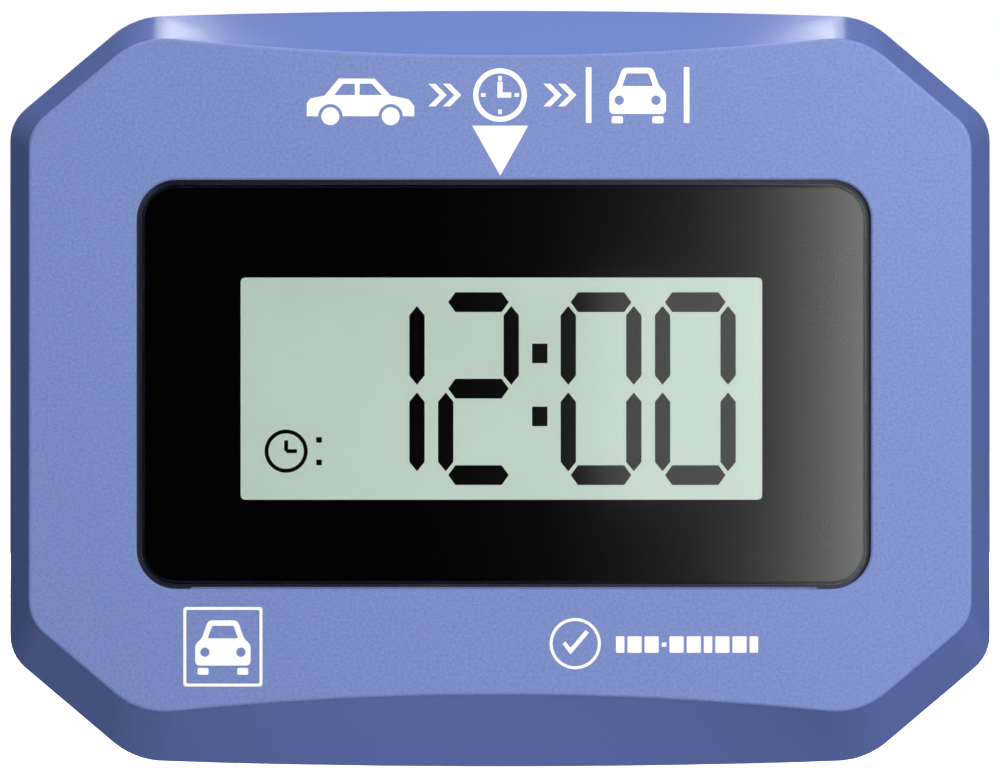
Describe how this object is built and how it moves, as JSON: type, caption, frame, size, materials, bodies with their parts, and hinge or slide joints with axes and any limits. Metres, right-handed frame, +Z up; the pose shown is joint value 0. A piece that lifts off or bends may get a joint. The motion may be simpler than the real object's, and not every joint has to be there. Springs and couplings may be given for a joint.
{
  "type": "electronic parking disc",
  "caption": "Flat eight-sided parking timer for a windscreen: display window in front, sliding battery door and set buttons behind.",
  "frame": {"origin": "centre of the front face, in the plane that meets the windscreen", "axes": "-Y out of the display towards the glass, +X to the right seen from the front, +Z up"},
  "size_m": [0.105, 0.021, 0.0809],
  "materials": {
    "casing_blue": "fine spark-eroded grain, metallic blue",
    "casing_dark": "fine grain",
    "button_grey": "satin",
    "lens_acrylic": "polished",
    "mask_black": "printed film",
    "tape": "adhesive tape",
    "polariser": "film",
    "lcd_glass": "polished",
    "reflector": "silver-grey film",
    "segment_ink": "liquid crystal, dark",
    "lcd_sealant": "epoxy",
    "foam": "foam",
    "holder_white": "moulded",
    "elastomer": "silicone",
    "board_green": "solder mask",
    "chip_black": "moulded",
    "steel": "brushed",
    "capacitor_tan": "ceramic",
    "contact_nickel": "nickel plated",
    "cell_steel": "bright",
    "screw_steel": "zinc plated",
    "label_silver": "matt film"
  },
  "bodies": {
    "housing": {"battery_negative_contacts": "contact_nickel", "battery_positive_contacts": "contact_nickel", "board_screws": "screw_steel", "coin_cell_left": "cell_steel", "coin_cell_right": "cell_steel", "display_lens": "lens_acrylic", "display_pad": "foam", "front_bezel": "casing_blue", "housing_screws": "screw_steel", "lcd_front_glass": "lcd_glass", "lcd_front_polariser": "polariser", "lcd_holder": "holder_white", "lcd_rear_glass": "lcd_glass", "lcd_reflector": "reflector", "lcd_seal": "lcd_sealant", "lcd_segments": "segment_ink", "lens_adhesive": "tape", "lens_mask": "mask_black", "main_board": "board_green", "microcontroller": "chip_black", "motion_sensor": "chip_black", "quartz_crystal": "steel", "rating_label": "label_silver", "rear_housing": "casing_dark", "smd_capacitors": "capacitor_tan", "smd_resistors": "chip_black", "switch_bodies": "chip_black", "zebra_connectors": "elastomer"},
    "battery_door": {"battery_door": "casing_dark"},
    "hour_button": {"hour_button": "button_grey", "hour_switch_plunger": "chip_black"},
    "minute_button": {"minute_button": "button_grey", "minute_switch_plunger": "chip_black"}
  },
  "joints": [
    {"name": "battery_door_slide", "type": "slide", "parent": "housing", "child": "battery_door", "axis": [0, 0, 1], "range_m": [0, 0.03]},
    {"name": "hour_button_press", "type": "slide", "parent": "housing", "child": "hour_button", "axis": [0, -1, 0], "range_m": [0, 0.0003], "stiffness_N_per_m": 1500, "springref_m": -0.0002},
    {"name": "minute_button_press", "type": "slide", "parent": "housing", "child": "minute_button", "axis": [0, -1, 0], "range_m": [0, 0.0003], "stiffness_N_per_m": 1500, "springref_m": -0.0002}
  ]
}
